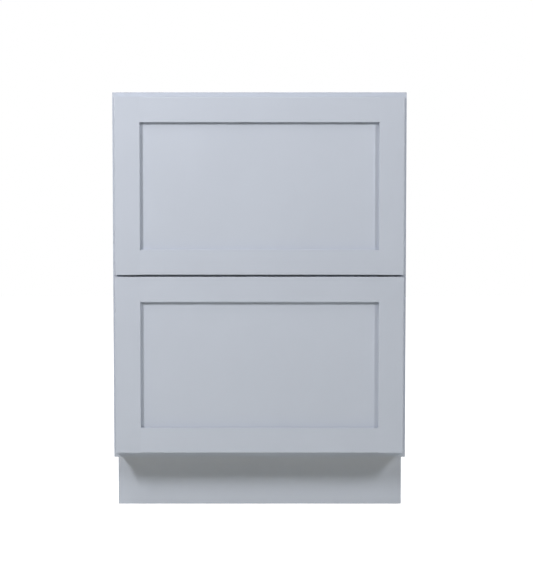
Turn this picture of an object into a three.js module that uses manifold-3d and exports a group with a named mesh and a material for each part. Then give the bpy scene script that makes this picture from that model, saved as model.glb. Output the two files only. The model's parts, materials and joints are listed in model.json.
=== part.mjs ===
// Base cabinet with two drawers: a plywood case behind a hardwood face frame, five-piece drawer
// fronts without handles, and dovetailed drawer boxes on three-stage runners under their bottoms.
// Millimetres. +X is right, +Y runs to the wall and +Z is up. The origin is on the floor, at the
// middle of the whole width and of the whole depth.
import * as THREE from 'three';
import { mergeVertices } from 'three/addons/utils/BufferGeometryUtils.js';
import Module from 'manifold-3d';

const wasm = await Module();
wasm.setup();

// ---------------------------------------------------------------- driving dimensions

// The case
const cabinetWidth = 609.6; // across the face frame
const cabinetHeight = 876.3; // floor to the top edge, without a worktop
const cabinetDepth = 609.6; // face frame to wall, without the drawer fronts
const panelThickness = 12.7; // plywood of the sides and the bottom
const backThickness = 9.525;
const dadoDepth = 6.35; // how deep a panel is housed in its neighbour
const hangingRailThickness = 12.7;
const hangingRailHeight = 88.9;

// The toe kick
const toeKickHeight = 114.3;
const toeKickRecess = 76.2; // face frame to toe-kick board
const toeBoardThickness = 6.35;
const toeSupportThickness = 12.7;

// The face frame
const frameThickness = 19.05;
const frameOverhang = 3.175; // how far a stile stands past its side panel
const stileWidth = 38.1;
const topRailWidth = 38.1;
const middleRailWidth = 38.1;
const bottomRailWidth = 38.1;
const frameTenonLength = 12.7;
const frameTenonThickness = 6.35;
const frameTenonShoulder = 6.35;
const stileHousingDepth = 6.35; // groove in the stile's back for the side panel

// The corner blocks under the worktop
const cornerBlockLeg = 95;
const cornerBlockThickness = 12.7;
const cornerBlockNose = 12; // width left at each cut-off tip
const cornerBlockHole = 6; // diameter, for the worktop screw

// The drawer fronts
const frontThickness = 19.05;
const frontStandoff = 1.6; // thickness of the bumpers between front and face frame
const frontSideReveal = 5.4; // face frame left showing beside the fronts
const frontTopReveal = 9.4;
const frontBottomReveal = 12.2;
const frontGap = 4.2; // between the two fronts
const frontStileWidth = 52;
const frontRailWidth = 52;
const frontPanelRecess = 9.525; // from the frame's face back to the panel's face
const frontPanelThickness = 6.35; // of its edge, in the groove
const frontGrooveDepth = 9.5;
const frontPanelPlay = 1.2; // room for the panel at the bottom of its groove
const frontFieldPlay = 0.8; // between the panel's thick field and the frame round it, behind
const frontEdgeRadius = 1.5;

// The drawer boxes
const boxSideThickness = 15.875;
const boxEndThickness = 15.875;
const boxSideClearance = 4.76; // box side to face frame stile
const boxLift = 15; // bottom edge of the box above the rail
const boxHeadroom = 54.85; // top edge of the box below the next rail
const boxRearSpace = 55.5; // behind the box
const boxBottomRecess = 12.7; // underside of the bottom above the box's lower edge
const boxBottomThickness = 6.35;
const boxGrooveDepth = 6.35;
const boxBottomPlay = 0.4;
const boxTopRadius = 3; // rounding of the boards' upper edges
const tailPitch = 25.4;
const tailLength = 11.1;
const tailNeck = 10.6; // width of a tail at its shoulder
const tailSlope = 0.249; // run out to each side for each millimetre of length: 14 degrees
const frontScrewHole = 5.2; // diameter, for the screws that hold the drawer front
const frontScrewInset = 62; // from the box's inside to the nearest screws
const frontScrewEdge = 48; // from the box front's lower and upper edges
const frontPilotHole = 2.8; // diameter, where those screws bite in the drawer front's panel
const frontPilotDepth = 8;

// The runners
const runnerWall = 1.5; // sheet steel
const runnerOffset = 22; // stile edge to the rail's track
const runnerWidth = 20;
const runnerLip = 3.5;
const runnerPlay = 0.5; // running clearance between two members
const runnerWeb = 3;
const runnerSetback = 3; // front end behind the face frame's face
const memberInset = 3; // moving members behind the box's front board, and short of the rail's end
const railClearance = 2.8; // top of the fixed rail below the box's lower edge
const stageGap = 3.2; // fixed rail to drawer member
const fixingHole = 4.6; // diameter
const fixingPitch = 128;
const fixingHoleFromEnd = 9.5;
const slotLength = 34; // lightening slots in the rail's foot
const slotWidth = 7;
const hookPinDiameter = 5;
const hookPinLength = 7;
const hookTabHeight = 12;
const hookPinHeight = 5.5; // pin's axis above the drawer bottom's underside
const notchPlay = 3; // back-board notch past the runner

// The rear brackets
const bracketWall = 2.7;
const bracketReach = 34; // how far its socket runs along the rail
const bracketHeight = 52;
const bracketScrewHole = 4.5;
const bracketScrewInset = 11;

// The locking devices and their release levers
const lockLength = 66;
const lockWidth = 30;
const lockChamfer = 6;
const lockNose = 11; // arm that hooks round the front end of the drawer member
const lockScrewHole = 4;
const lockScrewInset = 7.5;
const lockPocketDepth = 3; // moulded hollow in its underside, behind the pivot
const lockRib = 2.4; // walls left round the hollow
const leverThickness = 4.3;
const leverClearance = 0.6;
const leverWidth = 9;
const leverPadLength = 15;
const leverPadWidth = 12;
const leverRidges = 3; // grooves under the finger pad
const leverRidgeWidth = 1.8;
const leverRidgeDepth = 0.9;
const pivotDiameter = 6.4;
const pivotHeight = 6;
const pivotFromFront = 42;
const leverToothLength = 8;

// Clearances
const seam = 0.1; // glue line between two fixed pieces
const restGap = 0.3; // between a piece and its seat

// ---------------------------------------------------------------- places worked out from them

const wholeDepth = cabinetDepth + frontStandoff + frontThickness;
const faceY = -wholeDepth / 2; // face of the drawer fronts
const frontBackY = faceY + frontThickness;
const frameY = frontBackY + frontStandoff; // face of the face frame
const frameBackY = frameY + frameThickness;
const wallY = wholeDepth / 2;
const backRearY = wallY - hangingRailThickness - seam;
const backFrontY = backRearY - backThickness;

const halfWidth = cabinetWidth / 2;
const caseHalf = halfWidth - frameOverhang; // outer face of a side panel
const innerHalf = caseHalf - panelThickness; // its inner face
const openingHalf = halfWidth - stileWidth; // inner edge of a stile
const floorZ = toeKickHeight + bottomRailWidth; // top of the bottom panel
const frameRails = topRailWidth + middleRailWidth + bottomRailWidth;
const openingHeight = (cabinetHeight - toeKickHeight - frameRails) / 2;
const middleRailZ = floorZ + openingHeight;
const topRailZ = cabinetHeight - topRailWidth;
const toeBoardBackY = frameY + toeKickRecess + toeBoardThickness;

const frontReveals = frontTopReveal + frontBottomReveal + frontGap;
const frontHeight = (cabinetHeight - toeKickHeight - frontReveals) / 2;
const frontHalf = halfWidth - frontSideReveal;

const boxHalf = openingHalf - boxSideClearance; // outer face of a box side
const boxInnerHalf = boxHalf - boxSideThickness;
const boxHeight = openingHeight - boxLift - boxHeadroom;
const frontScrewX = boxInnerHalf - frontScrewInset;
const frontScrewHeights = [frontScrewEdge, boxHeight - frontScrewEdge]; // above the box's edge
const boxFrontY = frontBackY + seam;
const boxFrontInnerY = boxFrontY + boxEndThickness;
const boxBackY = backFrontY - boxRearSpace;
const boxBackInnerY = boxBackY - boxEndThickness;

// Heights in a runner, above the opening's lower edge
const railTopZ = boxLift - railClearance;
const railBottomZ = bracketWall + 2 * restGap;
const carriageBottomZ = railTopZ + stageGap;
const carriageTopZ = boxLift + boxBottomRecess - seam;
const leverBottomZ = railTopZ + leverClearance;
const leverTopZ = leverBottomZ + leverThickness;
const lockBottomZ = leverTopZ + restGap;

// ---------------------------------------------------------------- materials

const finish = (color, roughness, metalness = 0) =>
  new THREE.MeshStandardMaterial({ color, roughness, metalness });
const paint = finish('#cdd1da', 0.45);
const plywood = finish('#d8bd92', 0.5);
const maple = finish('#e2c89c', 0.45);
const zinc = finish('#b4b8bc', 0.35, 1);
const bracketPlastic = finish('#d9dad8', 0.55);
const lockPlastic = finish('#8d9296', 0.5);
const leverPlastic = finish('#5f666c', 0.5);

// ---------------------------------------------------------------- ways of making a solid

// A closed solid for cutting and joining, from a three.js geometry
function solid(geometry) {
  const bare = new THREE.BufferGeometry();
  bare.setAttribute('position', geometry.getAttribute('position'));
  bare.setIndex(geometry.getIndex());
  const merged = mergeVertices(bare, 1e-4);
  const vertProperties = new Float32Array(merged.getAttribute('position').array);
  const triVerts = new Uint32Array(merged.getIndex().array);
  return new wasm.Manifold(new wasm.Mesh({ numProp: 3, vertProperties, triVerts }));
}

function namedMesh(name, shape, material) {
  if (shape instanceof THREE.BufferGeometry) {
    const plain = new THREE.Mesh(shape, material);
    plain.name = name;
    return plain;
  }
  const { vertProperties, triVerts } = shape.getMesh();
  const geometry = new THREE.BufferGeometry();
  geometry.setAttribute('position', new THREE.BufferAttribute(vertProperties, 3));
  geometry.setIndex(new THREE.BufferAttribute(triVerts, 1));
  geometry.computeVertexNormals();
  return namedMesh(name, geometry, material);
}

// A block between two corners
function block([x0, x1], [y0, y1], [z0, z1]) {
  const geometry = new THREE.BoxGeometry(x1 - x0, y1 - y0, z1 - z0);
  return geometry.translate((x0 + x1) / 2, (y0 + y1) / 2, (z0 + z1) / 2);
}

const blockSolid = (...spans) => solid(block(...spans));

const outline = (points) => new THREE.Shape(points.map(([a, b]) => new THREE.Vector2(a, b)));

function extruded(shape, length) {
  return new THREE.ExtrudeGeometry(shape, { depth: length, bevelEnabled: false, curveSegments: 6 });
}

// An outline in x and y, from z0 up to z1
const extrudedUp = (shape, z0, z1) => extruded(shape, z1 - z0).translate(0, 0, z0);

// An outline in x and z, from y0 back to y1
const extrudedBack = (shape, y0, y1) =>
  extruded(shape, y1 - y0).rotateX(Math.PI / 2).translate(0, y1, 0);

// An outline in y and z, from x0 across to x1
const yzxAxes = new THREE.Matrix4().set(0, 0, 1, 0, 1, 0, 0, 0, 0, 1, 0, 0, 0, 0, 0, 1);
const extrudedAcross = (shape, x0, x1) =>
  extruded(shape, x1 - x0).applyMatrix4(yzxAxes).translate(x0, 0, 0);

// Round bars about their own middle, lying along y and standing along z
function roundBar(diameter, length) {
  return new THREE.CylinderGeometry(diameter / 2, diameter / 2, length, 16);
}

const uprightBar = (diameter, length) => roundBar(diameter, length).rotateX(Math.PI / 2);

// A pair of equal pieces: the left one as drawn, the right one mirrored
const sides = ['left', 'right'];

function mirroredPair(makePiece) {
  const pair = new THREE.Group();
  for (const side of sides) {
    const half = new THREE.Group();
    half.scale.x = side === 'left' ? 1 : -1;
    half.add(...makePiece(side));
    pair.add(half);
  }
  return pair;
}

// The waste outside a rounded corner at (x, y). The piece lies on the side of the corner that
// intoX and intoY point to, each 1 or -1.
function cornerWaste(x, y, radius, intoX, intoY) {
  const steps = 4;
  const points = [
    [x + intoX * radius, y - intoY],
    [x - intoX, y - intoY],
    [x - intoX, y + intoY * radius],
  ];
  for (let i = 0; i <= steps; i += 1) {
    const angle = (i / steps) * (Math.PI / 2);
    points.push([
      x + intoX * radius * (1 - Math.cos(angle)),
      y + intoY * radius * (1 - Math.sin(angle)),
    ]);
  }
  return outline(points);
}

// ---------------------------------------------------------------- the case

// A side panel: notched for the toe kick, housed for the bottom and grooved for the back
function sidePanel(side) {
  const frontEdgeY = frameBackY - stileHousingDepth + seam;
  const notchY = toeBoardBackY + seam;
  const shape = outline([
    [notchY, 0],
    [wallY, 0],
    [wallY, cabinetHeight],
    [frontEdgeY, cabinetHeight],
    [frontEdgeY, toeKickHeight],
    [notchY, toeKickHeight],
  ]);
  const housedX = -innerHalf - dadoDepth;
  const bottomHousing = blockSolid(
    [housedX, 0],
    [frontEdgeY - 1, wallY + 1],
    [floorZ - panelThickness - seam, floorZ + seam],
  );
  const backGroove = blockSolid(
    [housedX, 0],
    [backFrontY - seam, backRearY + seam],
    [floorZ, cabinetHeight + 1],
  );
  const panel = solid(extrudedAcross(shape, -caseHalf, -innerHalf))
    .subtract(bottomHousing)
    .subtract(backGroove);
  return namedMesh(`side_panel_${side}`, panel, plywood);
}

function casePanels() {
  const panels = new THREE.Group();
  const housedHalf = innerHalf + dadoDepth - seam;
  const betweenHalf = innerHalf - seam;
  panels.add(mirroredPair((side) => [sidePanel(side)]));
  const bottom = block(
    [-housedHalf, housedHalf],
    [frameBackY + seam, wallY],
    [floorZ - panelThickness, floorZ],
  );
  panels.add(namedMesh('bottom_panel', bottom, plywood));
  const back = block(
    [-housedHalf, housedHalf],
    [backFrontY, backRearY],
    [floorZ + seam, cabinetHeight],
  );
  panels.add(namedMesh('back_panel', back, plywood));
  const hangingRail = block(
    [-betweenHalf, betweenHalf],
    [wallY - hangingRailThickness, wallY],
    [cabinetHeight - hangingRailHeight, cabinetHeight],
  );
  panels.add(namedMesh('hanging_rail', hangingRail, plywood));
  return panels;
}

// A triangular block with its tips cut off and a hole for the worktop screw
function cornerBlock(name, x, y, quarterTurns) {
  const shape = outline([
    [0, 0],
    [cornerBlockLeg, 0],
    [cornerBlockLeg, cornerBlockNose],
    [cornerBlockNose, cornerBlockLeg],
    [0, cornerBlockLeg],
  ]);
  const holePlace = cornerBlockLeg * 0.3;
  const hole = new THREE.Path();
  hole.absarc(holePlace, holePlace, cornerBlockHole / 2, 0, 2 * Math.PI, true);
  shape.holes.push(hole);
  const piece = namedMesh(name, extruded(shape, cornerBlockThickness), plywood);
  piece.position.set(x, y, cabinetHeight - cornerBlockThickness);
  piece.rotation.z = (quarterTurns * Math.PI) / 2;
  return piece;
}

function cornerBlocks() {
  const blocks = new THREE.Group();
  const x = innerHalf - restGap;
  const front = frameBackY + restGap;
  const rear = backFrontY - restGap;
  blocks.add(cornerBlock('corner_block_front_left', -x, front, 0));
  blocks.add(cornerBlock('corner_block_front_right', x, front, 1));
  blocks.add(cornerBlock('corner_block_rear_right', x, rear, 2));
  blocks.add(cornerBlock('corner_block_rear_left', -x, rear, 3));
  return blocks;
}

// The toe kick: a raw support board between the sides, and the painted board over it
function toeKick() {
  const boards = new THREE.Group();
  const supportY = toeBoardBackY + seam;
  const support = block(
    [-innerHalf + seam, innerHalf - seam],
    [supportY, supportY + toeSupportThickness],
    [0, floorZ - panelThickness - seam],
  );
  boards.add(namedMesh('toe_kick_support', support, plywood));
  const board = block(
    [-caseHalf, caseHalf],
    [frameY + toeKickRecess, toeBoardBackY],
    [0, toeKickHeight - restGap],
  );
  boards.add(namedMesh('toe_kick_board', board, paint));
  return boards;
}

// ---------------------------------------------------------------- the face frame

const tenonY = frameY + (frameThickness - frameTenonThickness) / 2;

// One rail, with a tenon at each end
function frameRail(name, z, width) {
  const railHalf = openingHalf - seam;
  const tenonHalf = openingHalf + frameTenonLength;
  const board = blockSolid([-railHalf, railHalf], [frameY, frameBackY], [z, z + width]);
  const tongue = blockSolid(
    [-tenonHalf, tenonHalf],
    [tenonY, tenonY + frameTenonThickness],
    [z + frameTenonShoulder, z + width - frameTenonShoulder],
  );
  return namedMesh(name, board.add(tongue), paint);
}

// One stile, grooved behind for its side panel and mortised for the three rails
function frameStile(side, rails) {
  let stile = blockSolid(
    [-halfWidth, -openingHalf],
    [frameY, frameBackY],
    [toeKickHeight, cabinetHeight],
  );
  const sideGroove = blockSolid(
    [-caseHalf - seam, -innerHalf + seam],
    [frameBackY - stileHousingDepth, frameBackY + 1],
    [toeKickHeight - 1, cabinetHeight + 1],
  );
  stile = stile.subtract(sideGroove);
  for (const { z, width } of rails) {
    const mortise = blockSolid(
      [-openingHalf - frameTenonLength - seam, -openingHalf + 1],
      [tenonY - seam, tenonY + frameTenonThickness + seam],
      [z + frameTenonShoulder - seam, z + width - frameTenonShoulder + seam],
    );
    stile = stile.subtract(mortise);
  }
  return namedMesh(`face_stile_${side}`, stile, paint);
}

function faceFrame() {
  const frame = new THREE.Group();
  const rails = [
    { name: 'face_rail_bottom', z: toeKickHeight, width: bottomRailWidth },
    { name: 'face_rail_middle', z: middleRailZ, width: middleRailWidth },
    { name: 'face_rail_top', z: topRailZ, width: topRailWidth },
  ];
  for (const { name, z, width } of rails) {
    frame.add(frameRail(name, z, width));
  }
  frame.add(mirroredPair((side) => [frameStile(side, rails)]));
  return frame;
}

// ---------------------------------------------------------------- a five-piece drawer front

// A rounded corner of an edge, from the angle where it starts, as points for an outline
function easedCorner(x, y, startAngle) {
  const steps = 3;
  const points = [];
  for (let i = 0; i <= steps; i += 1) {
    const angle = startAngle + (i / steps) * (Math.PI / 2);
    points.push([x + frontEdgeRadius * Math.cos(angle), y + frontEdgeRadius * Math.sin(angle)]);
  }
  return points;
}

// The section of a stile or rail: across from its outer edge (0) to its inner edge (width), back
// from its face (0). The panel's groove runs along the inner edge.
function frontSection(width) {
  const grooveBottom = width - frontGrooveDepth;
  const grooveFront = frontPanelRecess - seam;
  const grooveBack = frontPanelRecess + frontPanelThickness + seam;
  return [
    ...easedCorner(frontEdgeRadius, frontEdgeRadius, Math.PI),
    [width, 0],
    [width, grooveFront],
    [grooveBottom, grooveFront],
    [grooveBottom, grooveBack],
    [width, grooveBack],
    [width, frontThickness],
    [0, frontThickness],
  ];
}

// A stile stands the full height, so its groove also takes the tongues of the rails
function frontStile(name) {
  const section = frontSection(frontStileWidth);
  const shape = outline(section.map(([across, back]) => [across - frontHalf, faceY + back]));
  return namedMesh(name, extrudedUp(shape, 0, frontHeight), paint);
}

// A rail, drawn as the lower one, with a tongue at each end in the stiles' grooves
function frontRail(name) {
  const railHalf = frontHalf - frontStileWidth - seam;
  const tongueHalf = railHalf + frontGrooveDepth;
  const shape = outline(
    frontSection(frontRailWidth).map(([across, back]) => [faceY + back, across]),
  );
  const board = solid(extrudedAcross(shape, -railHalf, railHalf));
  const tongueY = faceY + frontPanelRecess;
  const tongueSpan = [tongueY, tongueY + frontPanelThickness];
  const tongueHeight = [0, frontRailWidth - frontGrooveDepth];
  const ends = [
    [-tongueHalf, -railHalf + 1],
    [railHalf - 1, tongueHalf],
  ].map((span) => blockSolid(span, tongueSpan, tongueHeight));
  return namedMesh(name, board.add(ends[0]).add(ends[1]), paint);
}

// The panel: a thin edge in the frame's groove all round, and a field thick enough to lie flush
// with the back, where the screws from the box bite. The box's lower edge is at boxZ.
function frontPanel(name, boxZ) {
  const held = frontGrooveDepth - frontPanelPlay; // how much of the panel is in its groove
  const openHalf = frontHalf - frontStileWidth;
  const panelY = faceY + frontPanelRecess;
  const edge = blockSolid(
    [-openHalf - held, openHalf + held],
    [panelY, panelY + frontPanelThickness],
    [frontRailWidth - held, frontHeight - frontRailWidth + held],
  );
  const fieldBottom = frontRailWidth + frontFieldPlay;
  const field = blockSolid(
    [-openHalf + frontFieldPlay, openHalf - frontFieldPlay],
    [panelY, frontBackY],
    [fieldBottom, frontHeight - fieldBottom],
  );
  let panel = edge.add(field);
  const pilot = solid(roundBar(frontPilotHole, 2 * frontPilotDepth));
  for (const height of frontScrewHeights) {
    for (const x of [-frontScrewX, frontScrewX]) {
      panel = panel.subtract(pilot.translate([x, frontBackY, boxZ + height]));
    }
  }
  return namedMesh(name, panel, paint);
}

// Stiles, rails and panel, with z counted from the front's lower edge
function drawerFront(drawer, boxZ) {
  const front = new THREE.Group();
  front.add(mirroredPair((side) => [frontStile(`${drawer}_front_stile_${side}`)]));
  front.add(frontRail(`${drawer}_front_rail_bottom`));
  const topRail = new THREE.Group();
  topRail.scale.z = -1;
  topRail.position.z = frontHeight;
  topRail.add(frontRail(`${drawer}_front_rail_top`));
  front.add(topRail, frontPanel(`${drawer}_front_panel`, boxZ));
  return front;
}

// ---------------------------------------------------------------- a dovetailed drawer box

// Heights of the tails' centres above the box's lower edge: equal tails, half pins at both edges
const tailCount = Math.floor(boxHeight / tailPitch);
const tailStart = (boxHeight - tailCount * tailPitch) / 2 + tailPitch / 2;
const tailHeights = Array.from({ length: tailCount }, (_, i) => tailStart + i * tailPitch);
const neckHalf = tailNeck / 2;
const tipHalf = neckHalf + tailLength * tailSlope;

// The space for the bottom, cut out of all four boards at once
function bottomSlot() {
  const half = boxInnerHalf + boxGrooveDepth;
  return blockSolid(
    [-half, half],
    [boxFrontInnerY - boxGrooveDepth, boxBackInnerY + boxGrooveDepth],
    [boxBottomRecess - seam, boxBottomRecess + boxBottomThickness + seam],
  );
}

// A box side, with a row of tails at each end
function boxSide(name) {
  const frontShoulder = boxFrontInnerY + seam;
  const backShoulder = boxBackInnerY - seam;
  const backEnd = tailHeights.flatMap((z) => [
    [backShoulder, z - neckHalf],
    [backShoulder + tailLength, z - tipHalf],
    [backShoulder + tailLength, z + tipHalf],
    [backShoulder, z + neckHalf],
  ]);
  const frontEnd = tailHeights.toReversed().flatMap((z) => [
    [frontShoulder, z + neckHalf],
    [frontShoulder - tailLength, z + tipHalf],
    [frontShoulder - tailLength, z - tipHalf],
    [frontShoulder, z - neckHalf],
  ]);
  const shape = outline([
    [frontShoulder, 0],
    [backShoulder, 0],
    ...backEnd,
    [backShoulder, boxHeight],
    [frontShoulder, boxHeight],
    ...frontEnd,
  ]);
  let board = solid(extrudedAcross(shape, -boxHalf, -boxInnerHalf)).subtract(bottomSlot());
  const topEdges = [[-boxHalf, 1], [-boxInnerHalf, -1]];
  for (const [x, into] of topEdges) {
    const waste = cornerWaste(x, boxHeight, boxTopRadius, into, -1);
    board = board.subtract(solid(extrudedBack(waste, frontShoulder - 1, backShoulder + 1)));
  }
  return namedMesh(name, board, maple);
}

// One half-blind socket, open to the board's inner face at y and to its end. It deepens along
// direction, which is -1 in the front board and 1 in the back board.
function tailSocket(y, direction, z) {
  const neck = neckHalf + seam;
  const tip = tipHalf + seam;
  const mouthY = y - direction;
  const tipY = y + direction * (tailLength + seam);
  const points = [
    [mouthY, z - neck],
    [y, z - neck],
    [tipY, z - tip],
    [tipY, z + tip],
    [y, z + neck],
    [mouthY, z + neck],
  ];
  return solid(extrudedAcross(outline(points), boxInnerHalf - seam, boxHalf + 1));
}

// The front or back board, with sockets for the tails at both ends
function boxEnd(innerY, outerY, direction) {
  const ySpan = innerY < outerY ? [innerY, outerY] : [outerY, innerY];
  let board = blockSolid([-boxHalf, boxHalf], ySpan, [0, boxHeight]);
  for (const z of tailHeights) {
    const socket = tailSocket(innerY, direction, z);
    board = board.subtract(socket).subtract(socket.mirror([1, 0, 0]));
  }
  const topEdges = [[innerY, direction], [outerY, -direction]];
  for (const [y, into] of topEdges) {
    const waste = cornerWaste(y, boxHeight, boxTopRadius, into, -1);
    board = board.subtract(solid(extrudedAcross(waste, -boxInnerHalf, boxInnerHalf)));
  }
  return board.subtract(bottomSlot());
}

// The front board is bored for the four screws that hold the drawer front
function boxFront() {
  let board = boxEnd(boxFrontInnerY, boxFrontY, -1);
  const hole = solid(roundBar(frontScrewHole, 4 * boxEndThickness));
  for (const z of frontScrewHeights) {
    board = board.subtract(hole.translate([-frontScrewX, boxFrontY, z]));
    board = board.subtract(hole.translate([frontScrewX, boxFrontY, z]));
  }
  return board;
}

// The back board is notched over the runners and bored for their hooks
function boxBack() {
  const notchInner = openingHalf - runnerOffset - runnerWidth - notchPlay;
  const notch = blockSolid(
    [-boxInnerHalf, -notchInner],
    [boxBackInnerY - 1, boxBackY + 1],
    [-1, boxBottomRecess],
  );
  const hookHole = solid(roundBar(hookPinDiameter + 2 * runnerPlay, 2 * hookPinLength + 4));
  const runnerX = openingHalf - runnerOffset - runnerWidth / 2;
  const placed = hookHole.translate([-runnerX, boxBackY, boxBottomRecess + hookPinHeight]);
  const cuts = notch.add(placed);
  return boxEnd(boxBackInnerY, boxBackY, 1).subtract(cuts).subtract(cuts.mirror([1, 0, 0]));
}

// The whole box, with z counted from its lower edge
function drawerBox(drawer) {
  const box = new THREE.Group();
  box.add(mirroredPair((side) => [boxSide(`${drawer}_box_side_${side}`)]));
  box.add(namedMesh(`${drawer}_box_front`, boxFront(), maple));
  box.add(namedMesh(`${drawer}_box_back`, boxBack(), maple));
  const held = boxGrooveDepth - boxBottomPlay;
  const bottom = block(
    [-boxInnerHalf - held, boxInnerHalf + held],
    [boxFrontInnerY - held, boxBackInnerY + held],
    [boxBottomRecess, boxBottomRecess + boxBottomThickness],
  );
  box.add(namedMesh(`${drawer}_box_bottom`, bottom, plywood));
  return box;
}

// ---------------------------------------------------------------- the runners

// Drawn for the left side: x is counted inwards from the stile's edge, and z up from the lower
// edge of the drawer's opening.
const trackEnd = runnerOffset + runnerWidth;
const trackMiddle = runnerOffset + runnerWidth / 2;
const runnerFrontY = frameY + runnerSetback;
const runnerRearY = boxBackY + runnerSetback;
const memberFrontY = boxFrontInnerY + memberInset;

// A channel with its open side up, its two edges turned in
function lippedChannel(bottom, top) {
  const lipLeft = runnerOffset + runnerWall + runnerLip;
  const lipRight = trackEnd - runnerWall - runnerLip;
  return [
    [runnerOffset, bottom],
    [trackEnd, bottom],
    [trackEnd, top],
    [lipRight, top],
    [lipRight, top - runnerWall],
    [trackEnd - runnerWall, top - runnerWall],
    [trackEnd - runnerWall, bottom + runnerWall],
    [runnerOffset + runnerWall, bottom + runnerWall],
    [runnerOffset + runnerWall, top - runnerWall],
    [lipLeft, top - runnerWall],
    [lipLeft, top],
    [runnerOffset, top],
  ];
}

// An upright bar with rounded ends, long in y, for cutting slots
function slottedBar(length, width, height) {
  const straight = (length - width) / 2;
  const shape = new THREE.Shape();
  shape.absarc(0, straight, width / 2, 0, Math.PI);
  shape.absarc(0, -straight, width / 2, Math.PI, 2 * Math.PI);
  return solid(extrudedUp(shape, -height / 2, height / 2));
}

// The rail that stays in the cabinet: a track, with a foot and an upstand to screw it on by
function fixedRail(name) {
  const track = solid(
    extrudedBack(outline(lippedChannel(railBottomZ, railTopZ)), runnerFrontY, runnerRearY),
  );
  const upstand = outline([
    [restGap, railBottomZ],
    [runnerOffset + runnerWall, railBottomZ],
    [runnerOffset + runnerWall, railBottomZ + runnerWall],
    [restGap + runnerWall, railBottomZ + runnerWall],
    [restGap + runnerWall, railTopZ],
    [restGap, railTopZ],
  ]);
  let rail = track.add(solid(extrudedBack(upstand, runnerFrontY, runnerRearY)));
  const holeZ = (railBottomZ + runnerWall + railTopZ) / 2;
  const footMiddle = (restGap + runnerWall + runnerOffset) / 2;
  const lastHoleY = runnerRearY - bracketReach - fixingHole;
  const hole = solid(roundBar(fixingHole, 4 * runnerWall).rotateZ(Math.PI / 2));
  const slot = slottedBar(slotLength, slotWidth, 4 * runnerWall);
  for (let y = frameY + fixingHoleFromEnd; y < lastHoleY; y += fixingPitch) {
    rail = rail.subtract(hole.translate([restGap, y, holeZ]));
    rail = rail.subtract(slot.translate([footMiddle, y + fixingPitch / 2, railBottomZ]));
  }
  return namedMesh(name, rail, zinc);
}

// The member between them: an upright web with a cap at the top and the same cap, turned over,
// at the foot, each running inside the channel of its neighbour
function middleMember(name) {
  const capHalf = runnerWidth / 2 - runnerWall - runnerPlay;
  const foot = railBottomZ + runnerWall + runnerPlay;
  const footEdge = railTopZ - runnerWall - runnerPlay;
  const head = carriageTopZ - runnerWall - runnerPlay;
  const headEdge = carriageBottomZ + runnerWall + runnerPlay;
  const inner = capHalf - runnerWall;
  const rightHalf = [
    [capHalf, foot],
    [capHalf, footEdge],
    [inner, footEdge],
    [inner, foot + runnerWall],
    [runnerWeb / 2, foot + runnerWall],
    [runnerWeb / 2, head - runnerWall],
    [inner, head - runnerWall],
    [inner, headEdge],
    [capHalf, headEdge],
    [capHalf, head],
  ];
  const leftHalf = rightHalf.toReversed().map(([x, z]) => [-x, z]);
  const shape = outline([...rightHalf, ...leftHalf].map(([x, z]) => [x + trackMiddle, z]));
  const bar = extrudedBack(shape, memberFrontY, runnerRearY - memberInset);
  return namedMesh(name, bar, zinc);
}

// The member under the drawer: a channel with its open side down, and at its rear end a tab
// with the hook pin that enters the box's back board
function drawerMember(name) {
  const flipped = lippedChannel(carriageBottomZ, carriageTopZ).map(([x, z]) => [
    x,
    carriageBottomZ + carriageTopZ - z,
  ]);
  const tabY = boxBackY + restGap;
  const channel = solid(extrudedBack(outline(flipped), memberFrontY, tabY + runnerWall));
  const tab = blockSolid(
    [trackMiddle - hookPinDiameter, trackMiddle + hookPinDiameter],
    [tabY, tabY + runnerWall],
    [carriageTopZ - runnerWall, carriageTopZ + hookTabHeight],
  );
  const pin = solid(roundBar(hookPinDiameter, hookPinLength)).translate([
    trackMiddle,
    tabY + runnerWall / 2 - hookPinLength / 2,
    boxLift + boxBottomRecess + hookPinHeight,
  ]);
  return namedMesh(name, channel.add(tab).add(pin), zinc);
}

// The moulded bracket on the cabinet's back: a socket for the rail's end, a plate screwed to the
// back panel, and two gussets between them
function rearBracket(name) {
  const outer = -bracketWall;
  const inner = trackEnd + restGap;
  const floorTop = railBottomZ - restGap;
  const backY = backFrontY - restGap;
  const socketY = runnerRearY - bracketReach;
  const socket = outline([
    [outer, restGap],
    [inner + bracketWall, restGap],
    [inner + bracketWall, railTopZ],
    [inner, railTopZ],
    [inner, floorTop],
    [0, floorTop],
    [0, railTopZ],
    [outer, railTopZ],
  ]);
  const plate = blockSolid(
    [outer, inner + bracketWall],
    [backY - bracketWall, backY],
    [restGap, bracketHeight],
  );
  const gusset = outline([
    [runnerRearY + bracketWall, railTopZ - 1],
    [backY - 1, railTopZ - 1],
    [backY - 1, bracketHeight],
    [backY - 2 * bracketWall, bracketHeight],
  ]);
  let bracket = solid(extrudedBack(socket, socketY, backY)).add(plate);
  for (const x of [outer, inner]) {
    bracket = bracket.add(solid(extrudedAcross(gusset, x, x + bracketWall)));
  }
  const screwHole = solid(roundBar(bracketScrewHole, 4 * bracketWall));
  for (const x of [outer + bracketScrewInset, inner + bracketWall - bracketScrewInset]) {
    bracket = bracket.subtract(
      screwHole.translate([x, backY, bracketHeight - bracketScrewInset]),
    );
  }
  return namedMesh(name, bracket, bracketPlastic);
}

// The locking device, under the bottom in the box's front corner. Its nose lies in front of the
// drawer member's end, and the lever's pivot turns in a bore in its underside.
const lockX = trackEnd + restGap;
const lockFrontY = boxFrontInnerY + restGap;
const pivotX = lockX + lockWidth / 2;
const pivotY = lockFrontY + pivotFromFront;

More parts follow.
